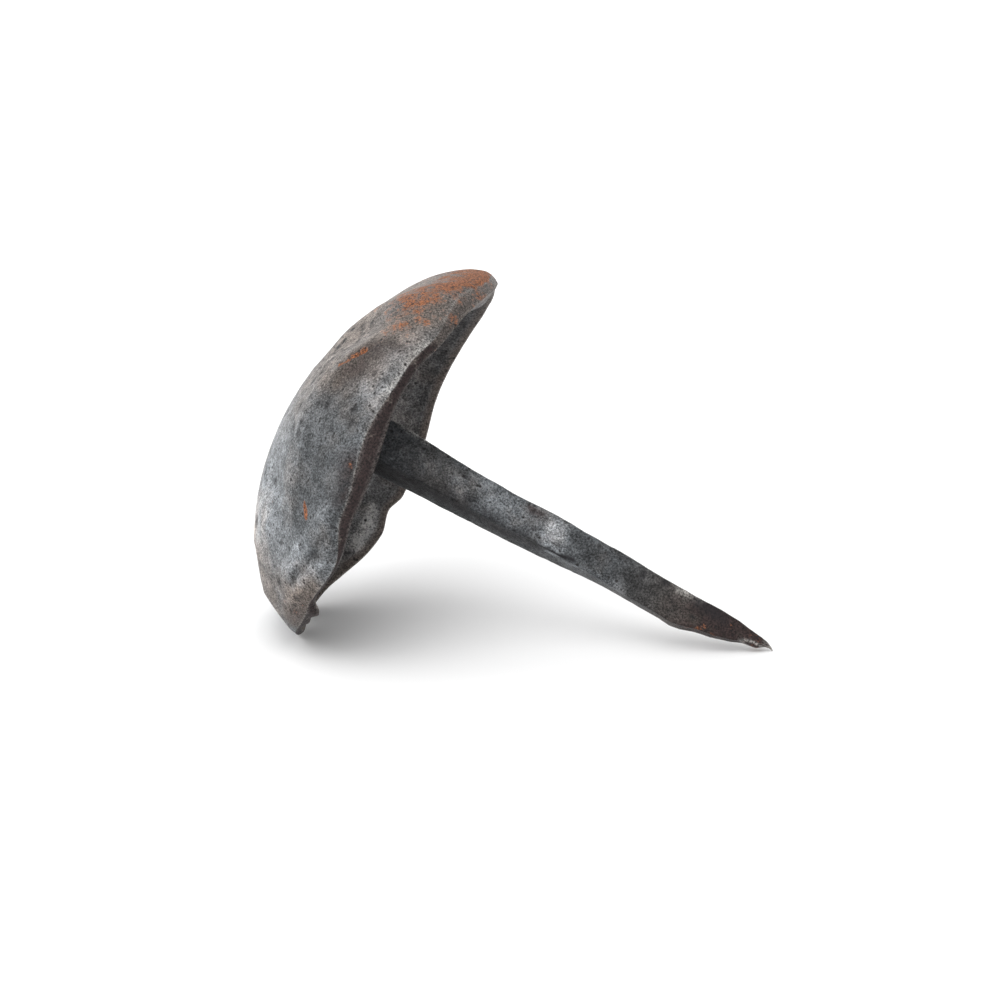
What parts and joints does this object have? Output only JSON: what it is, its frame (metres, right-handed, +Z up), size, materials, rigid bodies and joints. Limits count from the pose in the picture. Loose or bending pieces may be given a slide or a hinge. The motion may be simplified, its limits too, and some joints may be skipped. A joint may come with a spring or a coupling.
{
  "type": "dome head nail",
  "caption": "Hand-forged iron nail with a hollow hammered dome head and a tapered square shank, lying on its rim and point.",
  "frame": {"origin": "bottom centre of the nail's box as it lies on its rim and its point, so z = 0 is the surface it lies on", "axes": "+X along the ground from the head to the point, +Y across the head, +Z up"},
  "size_m": [0.0658, 0.0508, 0.0453],
  "materials": {
    "hammered_plate": "hammered plate with blue-grey fire scale, brown heat stain and specks of rust",
    "forged_bar": "hammered bar, dark fire scale with worn bright patches and a rusty torn tip",
    "weld_metal": "dark lumpy weld, scaled and unground"
  },
  "bodies": {
    "root": {"dome_head": "hammered_plate", "shank": "forged_bar", "weld_bead": "weld_metal"}
  },
  "joints": []
}
